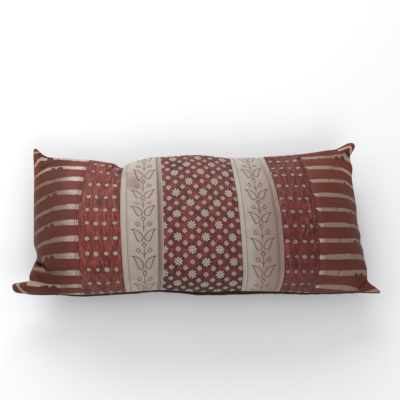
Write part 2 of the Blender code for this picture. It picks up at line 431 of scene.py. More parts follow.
class Recipe:
    """One cloth material, built up from sums on the places of the cloth."""

    def __init__(self, name, roughness, sheen):
        self.material = bpy.data.materials.new(name)
        self.material.use_nodes = True
        self.tree = self.material.node_tree
        self.inputs = self.tree.nodes["Principled BSDF"].inputs
        self.inputs["Roughness"].default_value = roughness
        self.inputs["Sheen Weight"].default_value = sheen
        self.inputs["Sheen Roughness"].default_value = 0.45
        self.inputs["Specular IOR Level"].default_value = 0.22

    def feed(self, socket, value):
        if isinstance(value, Term):
            self.tree.links.new(value.socket, socket)
        else:
            socket.default_value = shade(value) if isinstance(value, tuple) else value

    def node(self, kind, inputs, output=0, **settings):
        """A new node with its settings made and its inputs fed, as one of its outputs."""
        made = self.tree.nodes.new("ShaderNode" + kind)
        for name, value in settings.items():
            setattr(made, name, value)
        for name, value in inputs.items():
            self.feed(made.inputs[name], value)
        return Term(self, made.outputs[output])

    def sum_of(self, kind, *values):
        return self.node("Math", dict(enumerate(values)), operation=kind)

    def point(self, *values):
        return self.node("CombineXYZ", dict(enumerate(values)))

    def brightened(self, colour, amount):
        inputs = {"Factor": 1.0, 6: colour, 7: self.point(amount, amount, amount)}
        return self.node("Mix", inputs, 2, data_type="RGBA", blend_type="MULTIPLY")

    def places(self, name):
        """The three numbers that the mesh carries under a name."""
        vector = self.node("Attribute", {}, "Vector", attribute_name=name)
        apart = self.node("SeparateXYZ", {0: vector}).socket.node
        return [Term(self, socket) for socket in apart.outputs]

    def bump(self, height, distance):
        inputs = {"Height": height, "Distance": distance, "Strength": 1.0}
        self.feed(self.inputs["Normal"], self.node("Bump", inputs, "Normal"))

    def finish(self, colour):
        """Gives the shader its colour, and the material back."""
        self.feed(self.inputs["Base Color"], colour)
        return self.material


def noise(x, y, seed, detail=2):
    """Smooth random numbers about 0, from about -1 to 1."""
    inputs = {"Vector": x.recipe.point(x, y, seed), "Scale": 1.0, "Detail": detail}
    return (x.recipe.node("TexNoise", inputs, "Fac") - 0.5) * 2.6


def chance(x, y, seed):
    """One random number from 0 to 1 for each whole x and y."""
    return x.recipe.node("TexWhiteNoise", {"Vector": x.recipe.point(x, y, seed)}, "Value")


def length(x, y):
    """How far a place is from the middle."""
    return (x**2 + y**2)**0.5


make_camera()
make_light()
make_floor()

# The cloths.

STRIPE_PITCH = 39

# Where the rows of each pattern lie, as shares of the height, at one or more places along the cloth.
# The leaves have two places for each row: the tips and the feet.
Rows = namedtuple("Rows", "cloth first places")
ROWS_OF = {
    "stripe_left": (
        Rows(-0.4, -1, (0.966, 0.912, 0.832, 0.737, 0.615, 0.512, 0.404, 0.29, 0.215, 0.17, 0.06, -0.02)),
        Rows(-0.385, -1, (0.984, 0.951, 0.853, 0.751, 0.634, 0.529, 0.423, 0.313, 0.234, 0.177, 0.067, -0.02)),
        Rows(-0.378, 0, (0.9625, 0.866, 0.759, 0.645, 0.539, 0.434, 0.327, 0.245, 0.181, 0.07, -0.018)),
        Rows(-0.366, 0, (0.972, 0.881, 0.768, 0.658, 0.55, 0.447, 0.343, 0.257, 0.185, 0.072, -0.015)),
        Rows(-0.357, 0, (0.99, 0.893, 0.776, 0.669, 0.56, 0.459, 0.357, 0.268, 0.189, 0.071, -0.015)),
        Rows(-0.318, 0, (0.99, 0.903, 0.799, 0.698, 0.59, 0.491, 0.388, 0.291, 0.191, 0.073, -0.01)),
        Rows(-0.285, 0, (0.99, 0.903, 0.804, 0.701, 0.6, 0.501, 0.402, 0.302, 0.2, 0.09, 0.002)),
        Rows(-0.258, 0, (0.99, 0.901, 0.802, 0.7, 0.602, 0.504, 0.409, 0.308, 0.207, 0.104, 0.006)),
    ),
    "stripe_right": (
        Rows(0.262, 0, (0.951, 0.863, 0.755, 0.657, 0.563, 0.469, 0.381, 0.284, 0.199, 0.076)),
        Rows(0.33, 0, (0.946, 0.862, 0.766, 0.66, 0.564, 0.465, 0.371, 0.274, 0.171, 0.043)),
        Rows(0.362, 0, (0.946, 0.859, 0.768, 0.655, 0.557, 0.46, 0.368, 0.26, 0.155, 0.029)),
        Rows(0.4, 0, (0.918, 0.826, 0.736, 0.632, 0.53, 0.425, 0.328, 0.228, 0.129, 0.01)),
    ),
    "dots_left": (
        Rows(-0.206, 0, (0.95, 0.875, 0.757, 0.668, 0.583, 0.5, 0.408, 0.32, 0.228, 0.135, 0.026)),
    ),
    "dots_right": (
        Rows(0.22, 0, (0.93, 0.865, 0.802, 0.717, 0.63, 0.55, 0.46, 0.373, 0.289, 0.203, 0.103, 0.01)),
    ),
    "stars": (
        Rows(
            0.012,
            0,
            (0.96, 0.888, 0.815, 0.738, 0.66, 0.592, 0.528, 0.461, 0.395, 0.326, 0.259, 0.19, 0.104, 0.01),
        ),
    ),
    "leaves_left": (
        Rows(-0.139, 0, (0.888, 0.8, 0.709, 0.654, 0.601, 0.538, 0.454, 0.381, 0.298, 0.22, 0.114, 0.03)),
        Rows(-0.086, 0, (0.855, 0.77, 0.687, 0.628, 0.583, 0.518, 0.44, 0.371, 0.288, 0.214, 0.102, 0.025)),
    ),
    "leaves_right": (
        Rows(0.113, 0, (0.858, 0.78, 0.688, 0.614, 0.541, 0.47, 0.389, 0.319, 0.238, 0.162, 0.038, -0.03)),
        Rows(0.166, 0, (0.864, 0.792, 0.688, 0.627, 0.537, 0.484, 0.391, 0.328, 0.238, 0.175, 0.048, -0.02)),
    ),
}


def row_at(rows, share):
    """Which row a place lies in, counted down from the top, between rows in parts."""
    places = np.array(rows.places)
    count = rows.first + np.arange(len(places), dtype=float)
    row = np.interp(share, places[::-1], count[::-1])
    row = np.where(share > places[0], count[0] - (share - places[0]) / (places[0] - places[1]), row)
    return np.where(share < places[-1], count[-1] + (places[-1] - share) / (places[-2] - places[-1]), row)


def rows_at(pattern, cloth, share):
    """Rows all over a cloth, drawn evenly between the places where they are known."""
    known = ROWS_OF[pattern]
    if len(known) == 1:
        return row_at(known[0], share)
    row = np.zeros_like(share)
    for before, after in zip(known, known[1:]):
        part = part_of((cloth - before.cloth) / (after.cloth - before.cloth))
        inside = (cloth >= before.cloth) & (cloth < after.cloth)
        row = np.where(inside, row_at(before, share) * (1 - part) + row_at(after, share) * part, row)
    row = np.where(cloth < known[0].cloth, row_at(known[0], share), row)
    return np.where(cloth >= known[-1].cloth, row_at(known[-1], share), row)


def weave_bump(recipe, x, y, extra=None, depth=0.00012):
    """The fine uneven threads that run along the cushion."""
    slubs = noise(x * 0.1, y * 1.5, 3) + noise(x * 1.3, y * 0.25, 5) * 0.6
    recipe.bump(slubs if extra is None else slubs + extra, depth)
    return slubs


def striped_cloth(name, is_left):
    """Red-brown silk with beige bars that carry notches, steps and thin upright lines."""
    recipe = Recipe(name, roughness=0.62, sheen=0.02)
    x, y, _ = recipe.places("cloth")
    _, row, _ = recipe.places("motif")
    whole = row.nearest()
    odd = whole.wrapped(2)
    up = (whole - row) * STRIPE_PITCH + noise(x * 0.06, whole * 7, 1) * 0.5
    jitter = (chance(whole, 3, 1) - 0.5) * 6
    red = noise(x * 0.012, y * 0.01, 2).ramp(-0.6, 0.8).blend((89, 39, 28), (100, 46, 35))
    pale = noise(x * 0.05, y * 0.2, 9).ramp(-0.5, 0.9).blend((128, 104, 88), (142, 120, 106))
    # Painted light: the red turns warmer and lighter towards the top, where the light from above falls.
    red = red.coated(((120, 56, 42), y.ramp(220, 385) * (0.6 if is_left else 0.35)))
    if is_left:
        in_from_ear = x - (60 - y).largest(0) * 0.7
        # Painted light and shade on the red: lighter towards the inner end, darker towards the outer side away
        # from the ear.
        red = red.coated(
            ((114, 50, 44), x.ramp(112, 146) * 0.7),
            ((74, 34, 22), x.ramp(112, 84) * in_from_ear.ramp(6, 30) * 0.8),
        )
        in_upper_ear = x.below(37, 2) * y.above(350, 8)
        low_row = whole.above(7.5, 0.1) * x.ramp(80, 40) * 1.2 - in_upper_ear * 0.3
        top = 4.5 + (x + jitter).ramp(74, 86) * 1.5 + x.ramp(108, 128) * 0.9 + low_row
        bottom = 4.8 + (x + jitter).ramp(60, 90) * 0.5 + x.ramp(108, 128) * 0.9 + low_row
        shift = jitter * whole.below(8.5, 0.1) + whole.above(8.5, 0.1) * 2
        first = length(x + shift - 57, up + bottom + 0.6)
        second = length(x + shift - 76, up + bottom + 0.8)
        notches = first.below(7.4, 1).largest(second.below(8.6, 1)) * odd
        line = abs(x + jitter + up * 0.25 - 68).below(1, 1.2) * (1 - odd)
        twin = abs(abs(x - 141) - 2).below(0.7, 0.8) * 0.75
        speckled = x.ramp(96, 126) * 1.5
        # Painted light and shade over the bars' own tone: duller towards the outer side, lighter at the inner
        # end as painted sheen, and lighter towards the top as painted light from above.
        pale = pale.coated(
            ((113, 88, 73), x.ramp(130, 76) * 0.95),
            ((167, 151, 140), x.ramp(104, 138) * 0.95),
            ((200, 188, 176), x.ramp(84, 128) * y.ramp(240, 330) * 0.75),
            ((196, 182, 170), y.ramp(300, 385) * 0.6),
        )
    else:
        low_row = y.ramp(150, 60) * 2 * x.ramp(0, 40)
        low_row = low_row - whole.above(8.5, 0.1) * x.ramp(84, 114) * 3.6
        stepped = (x + jitter).ramp(12, 20) * (1 - (x + jitter).ramp(74, 86))
        top = 4.7 + stepped * 1.6 * odd + low_row
        bottom = 4.6 + low_row
        first = length(x + jitter * 0.4 - 103, up + bottom + 0.4)
        second = length(x + jitter * 0.4 - 119.5, up + bottom + 0.4)
        notches = first.below(5.8, 1).largest(second.below(5.8, 1)) * (1 - odd)
        rims = first.below(7.4, 1.4).largest(second.below(7.4, 1.4)) * (1 - odd) * y.above(300, 30)
        line = abs(x + jitter - up * 0.35 - 48).below(0.9, 1.2) * (1 - odd)
        twin = abs(x + jitter * 0.5 - 96 - up * 0.4).below(0.8, 1) * odd * 0.7
        speckled = x.ramp(26, 38) * (1 - x.ramp(56, 66)) * odd
        red = red.coated(
            ((98, 44, 40), x.ramp(40, 0) * 0.5),
            ((52, 30, 24), rims * up.above(-1 * bottom - 3.5, 1.5) * 0.6),
        )
    bar = up.below(top, 0.9) * up.above(-1 * bottom, 0.9)
    bar = bar * (1 - notches) * (1 - line) * (1 - twin)
    if is_left:
        pulled_out = ((y / 25.8)**16 * -1).exponential()
        in_ear = (pulled_out * 33.5 + 0.5 - x).above(0, 1.6)
        patch = abs(x * 1.3 + y - 38.7).below(4.8, 1.6) * y.below(23.5, 1.5)
        bare = x.above(37.5, 1.5) * x.below(53, 1.5) * y.above(371, 2)
        bare = bare.largest(abs(whole - 7).below(0.5, 0.1) * x.below(35, 3))
        bar = bar * (1 - in_ear) * (1 - bare) + patch * in_ear
    else:
        bar = bar * (x + (up * 0.8 - 3) * y.ramp(120, 200)).above(1.5, 1)
        in_fold = (143.5 - x).largest(0) / 36
        over_fold = y - 365 - in_fold**2 * 16
        in_ear = over_fold.above(0, 1) * x.above(107, 1)
        arc_line = y + x * 0.37 - 424.2 + x.ramp(126, 138) * 3.4
        patch = abs(arc_line).below(2.2, 1.2) * x.above(111, 2) * x.below(140.5, 2)
        # Painted shadow: a dark line, which also breaks the bar, where the ear's flap folds over the cloth.
        ear_fold_shadow = abs(over_fold).below(1.5, 1.8) * x.ramp(108, 136)
        bar = (bar * (1 - in_ear) + patch * in_ear) * (1 - ear_fold_shadow)
        red = red.coated(((46, 24, 21), ear_fold_shadow * 0.8))
        under_crease = y - 14 - (x - 113.2) * 0.63
        in_low_ear = under_crease.below(0, 1.2) * x.above(112, 2)
        low_patch = y.below(5.2 + (x - 121).largest(0).smallest(14) * 0.46, 1.2) * y.above(3, 1)
        low_patch = low_patch * x.above(121, 2)
        # Painted shade: a dark line, which also breaks the bar, along the crease that sets off the lower ear.
        crease = abs(under_crease).below(1.3, 1.6) * x.above(110, 3) * x.below(138, 4)
        pale = pale.coated(((196, 180, 166), patch * in_ear))
        bar = bar * (1 - in_low_ear) * (1 - crease) + low_patch * in_low_ear
        red = red.coated(((46, 26, 22), crease * 0.55))
    if is_left:
        pale = pale.coated(((172, 152, 136), y.ramp(46, 30) * x.below(96, 20) * 0.6))
    else:
        # Painted light from above makes the bars lighter towards the top; they are also lighter at their inner
        # ends lower down.
        pale = pale.coated(
            ((188, 172, 152), y.ramp(230, 350) * x.ramp(80, 30) * 0.25),
            ((176, 150, 130), y.ramp(200, 330) * x.ramp(84, 124) * 0.6),
            ((196, 182, 164), x.ramp(16, 4) * y.ramp(330, 200) * 0.5),
        )
    grains = noise(x * 0.42, y * 0.42, 14, 1)
    bar_colour = pale.brighter(1 - speckled * grains.ramp(0.05, 0.45) * 0.4)
    bar_colour = bar_colour.coated(((222, 214, 204), speckled * grains.ramp(-0.2, -0.6) * 0.6))
    slubs = weave_bump(recipe, x, y, bar * 0.8)
    colour = red.coated((bar_colour, bar))
    return recipe.finish(colour.brighter(1 + slubs * 0.05))


def dotted_cloth(name, last_column, edge_at, worn, dark, light, crest_highlight):
    """Crinkled red silk with rows of small uneven pale dots, painted highlights and shade on its crinkles, and
    painted shade with pale flecks along its lapped edge.
    """
    recipe = Recipe(name, roughness=0.52, sheen=0.03)
    x, y, relief = recipe.places("cloth")
    column, row, pitch = recipe.places("motif")
    nearest_column = column.nearest()
    nearest_row = row.nearest()
    size = chance(nearest_column, nearest_row, 1)
    aside = chance(nearest_column, nearest_row, 2) - 0.5
    raised = chance(nearest_column, nearest_row, 4) - 0.5
    from_x = (column - nearest_column) * pitch - aside * 2.2
    from_y = (row - nearest_row) * 34 - raised * 2.2
    wobble = noise(x * 0.42, y * 0.42, 6) * 1.7
    away = length(from_x * 0.98, from_y * (1.08 + aside * 0.3)) + wobble
    radius = 3.8 + size * 1.5 - worn * 0.5
    there = nearest_column.above(-0.5, 0.1) * nearest_column.below(last_column + 0.5, 0.1)
    dot = (radius - away).above(0, 1.4) * there
    ring = (radius + 1.8 - away).above(0, 1.6) * there * (1 - dot)
    streak = noise(x * 0.55, y * 0.045, 8, 4)
    # The red runs in upright streaks between its dark and light tones, partly painted highlight and shade of
    # the crinkles.
    red = streak.ramp(-0.6, 0.7).blend(dark, light)
    rosy = noise(x * 0.09, y * 0.05, 12)
    thin = noise(x * 0.95, y * 0.05, 18)
    highlight_vein = abs(noise(x * 0.11 + y * 0.016, y * 0.022, 41)).below(0.09, 0.16)
    shade_vein = abs(noise(x * 0.12 - y * 0.012, y * 0.024, 43)).below(0.1, 0.18)
    strength = noise(x * 0.05, y * 0.04, 47).ramp(-0.6, 0.6)
    deep = noise(x * 0.85, y * 0.07, 28)
    pale = (chance(nearest_column, nearest_row, 7) * 0.6).blend((164, 150, 134), (174, 146, 136))
    # After a rosy tint, painted highlights and shade of the crinkles: the crests, thin lines and light veins
    # take the highlight tone, while the valleys, dark veins and deep lines are painted shade.
    red = red.coated(
        ((132, 48, 52), rosy.ramp(0, 0.8) * 0.5),
        (crest_highlight, relief.ramp(0.25, 1.6) * 0.85),
        ((52, 24, 22), relief.ramp(-0.1, -0.9) * 0.8),
        (crest_highlight, thin.ramp(0.35, 0.8) * 0.75),
        ((50, 24, 22), shade_vein * (1 - strength * 0.5) * 0.55),
        (crest_highlight, highlight_vein * strength * 0.5),
        ((52, 24, 22), deep.ramp(0.35, 0.9) * 0.6),
    )
    # Where worn is 1, on the right cloth, the dots are duller lower down: painted shade of that side.
    pale = pale.coated(((128, 92, 84), y.ramp(330, 270) * worn * 0.55))
    heart = (1.6 - away).above(0, 1.2) * chance(nearest_column, nearest_row, 9)
    broken = noise(y * 0.22, x * 0.1, 33)
    # Painted shade along the lapped edge, broken up, with pale flecks of thread.
    edge = abs(x - edge_at).below(2.4, 1.6)
    colour = red.coated(
        ((52, 30, 27), ring * (0.6 + worn * 0.25)),
        (pale, dot * 0.9),
        ((110, 72, 64), heart * there * (0.5 + worn * 0.3)),
        ((52, 28, 24), edge * broken.ramp(-0.5, 0.3) * 0.7),
        ((184, 150, 138), edge * broken.ramp(-0.35, -0.7) * 0.7),
    )
    # Painted shade: darker towards the bottom.
    colour = colour.brighter(1 - y.ramp(110, 10) * 0.16)
    slubs = weave_bump(recipe, x, y, dot * 0.6 + streak * 2.2 + thin * 1.4)
    return recipe.finish(colour.brighter(1 + slubs * 0.06))


LEAF_PITCH = 59
LEAF_TIP = 26.9
LEAF_RUN = (-0.563, -0.825)
LEAF_LENGTH = 34.8


def leaf(x, up):
    """One leaf of a pair, from its flat outer tip down to its round foot: its outline and its inside."""
    run_x, run_y = LEAF_RUN
    along = ((x - LEAF_TIP) * run_x + up * run_y) / LEAF_LENGTH
    aside = (x - LEAF_TIP) * run_y + up * -run_x
    on_leaf = along.largest(0)
    spine = on_leaf**0.5 * (1 - along) * 13.8 + along * 1.8
    half_width = on_leaf**1.2 * (1.03 - along).largest(0)**0.5 * 18.2
    gap = abs(aside - spine) - half_width
    wide = 1.05 + along.ramp(0.85, 1.03)
    between = along.above(-0.02, 0.03) * along.below(1.06, 0.02)
    line = (wide - abs(gap)).above(0, 0.9) * between
    inside = gap.below(0, 0.8) * between
    return line, inside


# Bands across: where the edge strips end, where the woven lines, the faint lines and the fold lie, and the
# middle of the leaves, in millimetres; how wide the fold's painted shade is; how strong the painted shade
# across the band is; where the painted shade under the tuck lies; and how far the leaves move over near the
# top.
Band = namedtuple(
    "Band", "left_strip right_strip lines faint fold middle fold_width browner tuck_x tuck_y moved_high"
)
BAND_LEFT = Band(11.5, 75.5, (12.8, 76.5), (15.8,), 81.4, 47, 5.6, 0.15, 29, 308, 3.2)
BAND_RIGHT = Band(9, 73.5, (9.6, 73), (12.5, 66.5, 69), 77.5, 43.5, 2.6, 0.75, -60, 0, 0)


def band_cloth(name, band, seed):
    """Cream satin with woven side lines and a climbing row of outlined leaves and small diamonds."""
    recipe = Recipe(name, roughness=0.55, sheen=0.03)
    x, y, _ = recipe.places("cloth")
    from_middle, row, _ = recipe.places("motif")
    from_middle = from_middle - y.ramp(260, 335) * band.moved_high
    whole = row.nearest()
    up = (whole - row) * LEAF_PITCH
    sway = noise(x * 0.05, y * 0.05, seed) * 0.8
    side = abs(from_middle + sway * 0.6)
    outline, inside = leaf(side, up + sway * 0.8)
    shaky = noise(x * 0.25, y * 0.25, seed + 1) * 0.7
    side_diamond = abs(side - 12.4) * 1.05 + abs(up - 11.8)
    top_diamond = side * 1.1 + abs(up - 22.6)
    diamond = abs(side_diamond.smallest(top_diamond) + shaky - 4.7).below(1.1, 0.9)
    stem = side.below(0.75, 0.9) * up.above(-7, 5) * up.below(18.5, 1)
    bud = length(side * 1.2, (up - 3) * 0.5)
    branch = abs(up - 3.5 - side * 0.62).below(0.75, 0.9) * side.below(9, 1)
    cap = abs(up - 29 + side * 1.1).below(0.8, 0.9) * side.below(4, 1)
    drawn = outline.largest(diamond).largest(stem).largest(branch * 0.8)
    drawn = drawn.largest(bud.below(1.8, 0.9)).largest(cap * 0.8)
    on_field = x.above(band.left_strip + 2, 1) * x.below(band.right_strip - 2, 1)
    worn = noise(x * 0.35, y * 0.35, 11).ramp(-1, 0.1) * 0.3 + 0.7
    brown = noise(x * 0.08, y * 0.08, seed + 13).ramp(-0.4, 0.5).blend((78, 58, 52), (112, 62, 64))
    tint = noise(x * 0.05, y * 0.04, seed + 2, 3).ramp(-0.5, 0.6)
    field = tint.blend((158, 151, 137), (172, 156, 149))
    # Painted light and shade on the field: it is lighter near the top, and browner across the band away from
    # its left side, less so near the top and most on the right band.
    in_shade = x.ramp(8, 62) * (1 - y.ramp(210, 330) * 0.7)
    # Painted shade under the tuck near the top of the left band.
    in_tuck_shade = ((x - band.tuck_x) / 18)**2 + ((y + x * 0.25 - band.tuck_y) / 25)**2
    strip = x.below(band.left_strip, 0.8).largest(x.above(85.4, 0.8))
    pale = noise(x * 0.03, y * 0.02, seed + 5).ramp(-0.3, 0.5).blend((164, 155, 139), (166, 155, 152))
    field = field.coated(
        ((134, 110, 100), in_shade * band.browner),
        ((186, 182, 168), y.ramp(320, 388) * 0.35),
        ((116, 94, 84), in_tuck_shade.ramp(1.8, -0.2) * 0.68),
        ((160, 132, 126), inside * on_field * 0.28),
    )
    pale = pale.coated(((186, 172, 166), x.above(84.6, 0.8) * 0.5))
    line = abs(x - band.lines[0]).below(0.9, 1).largest(abs(x - band.lines[1]).below(0.85, 1))
    field = field.coated((pale, strip * 0.85))
    colour = field.coated(((108, 82, 72), line * 0.7))
    for place in band.faint:
        colour = colour.coated(((120, 98, 88), abs(x - place).below(0.5, 0.8) * 0.38))
    # Painted shade in the fold along the band's right side, lighter towards the top.
    shaded = ((x - band.fold) / band.fold_width)**2
    fold_shade_strength = 0.64 - y.ramp(240, 360) * 0.28
    stitches = abs(x - 2.4).below(0.5, 0.6).largest(abs(x - 85.8).below(0.5, 0.6))
    stitches = stitches * y.wrapped(3.6).below(2.2, 0.6)
    threads = noise(x * 1.2, y * 0.08, 21) + noise(x * 0.05, y * 1.3, 22) * 0.7
    colour = colour.coated(
        ((112, 82, 76), shaded.ramp(1, 0.25) * fold_shade_strength),
        (brown, drawn * worn * on_field),
        ((118, 100, 92), stitches * 0.55),
    )
    weave_bump(recipe, x, y, drawn * 0.7 - stitches * 2.5)
    return recipe.finish(colour.brighter(1 + threads * 0.045))


STAR_COLUMN = 30
STAR_ROW = 26.2


def star_cloth(name):
    """Dark red brocade with eight-leaved stars and diamonds in turn."""
    recipe = Recipe(name, roughness=0.66, sheen=0.02)
    x, y, _ = recipe.places("cloth")
    column, row, _ = recipe.places("motif")
    sway = noise(x * 0.11, y * 0.11, 4) * 0.025
    column = column + sway - x.ramp(92, 20) * y.ramp(200, 60) * 0.1
    row = row + noise(x * 0.11, y * 0.11, 24) * 0.03
    near_column = column.nearest()
    near_row = row.nearest()
    is_diamond = (near_column + near_row).wrapped(2).above(0.5, 0.1)
    from_x = (column - near_column) * STAR_COLUMN
    from_y = (row - near_row) * STAR_ROW
    off_column = (column - 0.5).nearest() + 0.5
    off_row = (row - 0.5).nearest() + 0.5
    off_x = abs(column - off_column) * STAR_COLUMN
    off_y = abs(row - off_row) * STAR_ROW
    grain = noise(x * 0.8, y * 0.8, 7) * 0.45
    corner = (off_x**1.25 + off_y**1.25)**0.8 + grain
    middle = (abs(from_x)**1.25 + abs(from_y)**1.25)**0.8 + grain
    diamonds = corner.below(5.9, 1.2).largest(middle.below(5.9, 1.2) * is_diamond)
    hearts = corner.below(1.6, 1.6).largest(middle.below(1.6, 1.6) * is_diamond)
    around = corner.below(8.2, 2).largest(middle.below(8.2, 2) * is_diamond)
    radius = length(from_x, from_y)
    turn = from_y.angle_from(from_x) + 0.12
    eighth = math.pi / 4
    to_petal = abs((turn + eighth / 2).wrapped(eighth) - eighth / 2) * radius
    petal_width = 1.8 - abs(radius - 7.2) * 0.24
    petals = (petal_width - to_petal + grain * 0.5).above(0, 0.8)
    petals = petals * radius.above(3.9, 0.6) * radius.below(9.3, 0.8)
    disc = (radius + grain * 0.5).below(4.6, 0.7)
    ring = abs(radius - 2.9).below(0.55, 0.8)
    star = petals.largest(disc) * (1 - is_diamond)
    eye = ring * (1 - is_diamond)
    blotch = noise(x * 0.07, y * 0.07, 17)
    ground = blotch.ramp(-0.5, 0.5).blend((74, 40, 36), (126, 55, 54))
    # Painted shade of a hollow near the top left.
    hollow_shade = ((x - 34) / 26)**2 + ((y - 345) / 26)**2
    pale = noise(x * 0.06, y * 0.06, 19).ramp(-0.4, 0.6).blend((150, 147, 134), (166, 151, 143))
    green = (136, 132, 110)
    dull = chance(off_column + off_row, near_column, near_row).blend((146, 130, 112), (164, 134, 126))
    around = around.largest(radius.below(11.5, 2.5) * radius.above(6, 2) * (1 - is_diamond))
    specks = noise(x * 0.5, y * 0.5, 37)
    ground = ground.coated(
        # Painted shade: darker towards the bottom.
        ((50, 27, 24), y.ramp(120, 14) * 0.85),
        # Painted shade in the hollow near the top left.
        ((62, 32, 28), hollow_shade.ramp(1.4, 0) * 0.6),
        ((54, 30, 28), around * 0.42),
        ((60, 34, 31), specks.ramp(0, 0.7) * 0.5),
        ((146, 70, 66), specks.ramp(-0.3, -0.9) * 0.4),
    )
    figure = diamonds.largest(star)
    slubs = weave_bump(recipe, x, y, figure * 1.5, 0.00014)
    colour = ground.coated(
        (dull, diamonds * 0.95),
        ((118, 104, 88), hearts * 0.28),
        (pale.brighter(1.22), star * 0.98),
        (green, disc * (1 - is_diamond) * 0.5),
        ((96, 74, 62), eye * 0.55),
    )
    return recipe.finish(colour.brighter(1 + slubs * 0.07))


def back_cloth(name):
    """Plain red-brown cotton of the back, with painted shade darkest under the lower seam."""
    recipe = Recipe(name, roughness=0.78, sheen=0.05)
    x, y, _ = recipe.places("cloth")
    patch = noise(x * 0.015, y * 0.015, 2).ramp(-0.7, 0.7)
    colour = patch.blend((66, 32, 27), (78, 38, 32))
    threads = noise(x * 1.1, y * 0.1, 3) + noise(x * 0.1, y * 1.1, 5)
    # Painted shade: the cloth darkens to near black under the lower seam.
    colour = colour.coated(((30, 17, 15), y.ramp(40, 20)))
    recipe.bump(threads, 0.0002)
    return recipe.finish(colour.brighter(1 + threads * 0.05))


def thread_cloth(name, tone):
    """Loose sewing thread."""
    recipe = Recipe(name, roughness=0.6, sheen=0.1)
    x, y, _ = recipe.places("cloth")
    twist = noise(x * 2, y * 2, 3)
    recipe.bump(twist, 0.0001)
    return recipe.finish(recipe.brightened(tone, 1 + twist * 0.08))


# Heights of the cloth above its plain form.

ROUGH_REPEAT = 97


def rough(x, y, seed):
    """Smooth random heights from -1 to 1, one for each unit square."""
    table = np.random.default_rng(seed).uniform(-1, 1, (ROUGH_REPEAT, ROUGH_REPEAT))
    i = np.floor(x).astype(int)
    j = np.floor(y).astype(int)
    part_x = eased(x - i)
    part_y = eased(y - j)
    here, after, down, above = (k % ROUGH_REPEAT for k in (i, i + 1, j, j + 1))
    low = table[here, down] * (1 - part_x) + table[after, down] * part_x
    high = table[here, above] * (1 - part_x) + table[after, above] * part_x
    return low * (1 - part_y) + high * part_y


def ridges(x, y, seed):
    """Sharp crests between soft hollows, from 0 to 1."""
    return (1 - np.abs(rough(x, y, seed)))**2.5


# Folds, in millimetres: their middle, how they lean in degrees, their length, width and height.
Fold = namedtuple("Fold", "cloth share lean length width height")
FOLDS = (
    Fold(-360, 0.15, -6, 30, 8, 2),
    Fold(-186, 0.93, 62, 22, 4, -3.6),
    Fold(-174, 0.9, 74, 28, 3.5, 3),
    Fold(-196, 0.96, 45, 18, 3.5, 2.8),
    Fold(-142, 0.87, -4, 17, 7.5, 4.8),
    Fold(-136, 0.795, -8, 20, 14, -4.6),
    Fold(-128, 0.8, 12, 20, 7, 1.4),
    Fold(-116, 0.192, 0, 42, 1.3, -0.7),
    Fold(164, 0.822, 0, 20, 1.4, -0.6),
    Fold(166, 0.684, 0, 22, 1.4, -0.6),
    Fold(352, 0.93, -35, 30, 6, -2.2),
    Fold(385, 0.936, -12, 18, 2.8, -3.6),
    Fold(379, 0.054, 32, 20, 3, -4),
    Fold(372, 0.07, 32, 22, 5, 2),
    Fold(-372, 0.9, 40, 26, 5.5, -2.2),
    Fold(-350, 0.95, 25, 30, 5, 1.6),
)


def folds_at(cloth, share):
    """Height of all the listed folds."""
    height = np.zeros_like(cloth)
    for fold in FOLDS:
        lean = math.radians(fold.lean)
        right = cloth / MM - fold.cloth
        up = (share - fold.share) * COVER_HEIGHT / MM
        along = (right * math.cos(lean) + up * math.sin(lean)) / fold.length
        aside = (-right * math.sin(lean) + up * math.cos(lean)) / fold.width
        height += fold.height * MM * bell(along**2) * bell(aside)
    return height


def rim_round(distance, width):
    """How far a rounded edge has risen, from 0 at its end to 1 a width in."""
    inward = part_of(distance / width)
    return np.sqrt(1 - (1 - inward)**2)


def seam_puckers(cloth, share):
    """Short creases that run in from the upper and lower seams and from the sides."""
    up = share * COVER_HEIGHT
    to_side = HALF_LENGTH - np.abs(cloth)
    low = rough(cloth / 0.0085, up / 0.05, 31) * np.exp(-up / 0.016)
    high = rough(cloth / 0.0085 + 9.3, up / 0.05, 32) * np.exp((up - COVER_HEIGHT) / 0.018)
    side = rough(up / 0.0095, cloth / 0.05, 33) * np.exp(-to_side / 0.014)
    return 0.0013 * (low + high) + 0.0016 * side


def slack(cloth, share):
    """The soft unevenness of stuffed cloth."""
    up = share * COVER_HEIGHT
    return 0.0011 * rough(cloth / 0.045, up / 0.05, 41) + 0.0005 * rough(cloth / 0.018, up / 0.026, 42)


def crinkles(cloth, share):
    """Uneven upright crinkles, some sharp, that wander as they climb."""
    up = share * COVER_HEIGHT
    wander = 0.0016 * rough(cloth / 0.02, up / 0.018, 51)
    coarse = ridges((cloth + wander) / 0.0052, up / 0.03, 52)
    fine = ridges((cloth + wander * 1.4) / 0.0034 + 3.7, up / 0.016, 53)
    flats = 0.7 + 0.45 * rough(cloth / 0.016, up / 0.028, 54)
    return 0.0017 * (coarse + fine * 0.55 - 0.55) * flats


# Panels in the order they are laid: each edge is a rim, goes under its neighbour, or laps over it.
Panel = namedtuple("Panel", "name start end pattern left right step lift thickness")
PANELS = (
    Panel("stripe_left", -0.4, -0.252, "stripe_left", "rim", "under", 0.0016, 0, 0.001),
    Panel("stripe_right", 0.256, 0.4, "stripe_right", "under", "rim", 0.0016, 0, 0.001),
    Panel("centre", -0.072, 0.096, "stars", "under", "under", 0.0021, 0, 0.001),
    Panel("dots_left", -0.252, -0.16, "dots_left", "over", "under", 0.0011, 0.001, 0.001),
    Panel("dots_right", 0.184, 0.256, "dots_right", "under", "over", 0.0011, 0.001, 0.001),
    Panel("band_left", -0.16, -0.072, "leaves_left", "over", "over", 0.0016, 0.001, 0.0013),
    Panel("band_right", 0.096, 0.184, "leaves_right", "over", "over", 0.0016, 0.001, 0.0013),
)
LAP = 0.004
UNDER_DROP = 0.0022
CLOSE_ROWS = (0, 0.0004, 0.001, 0.0018, 0.003)


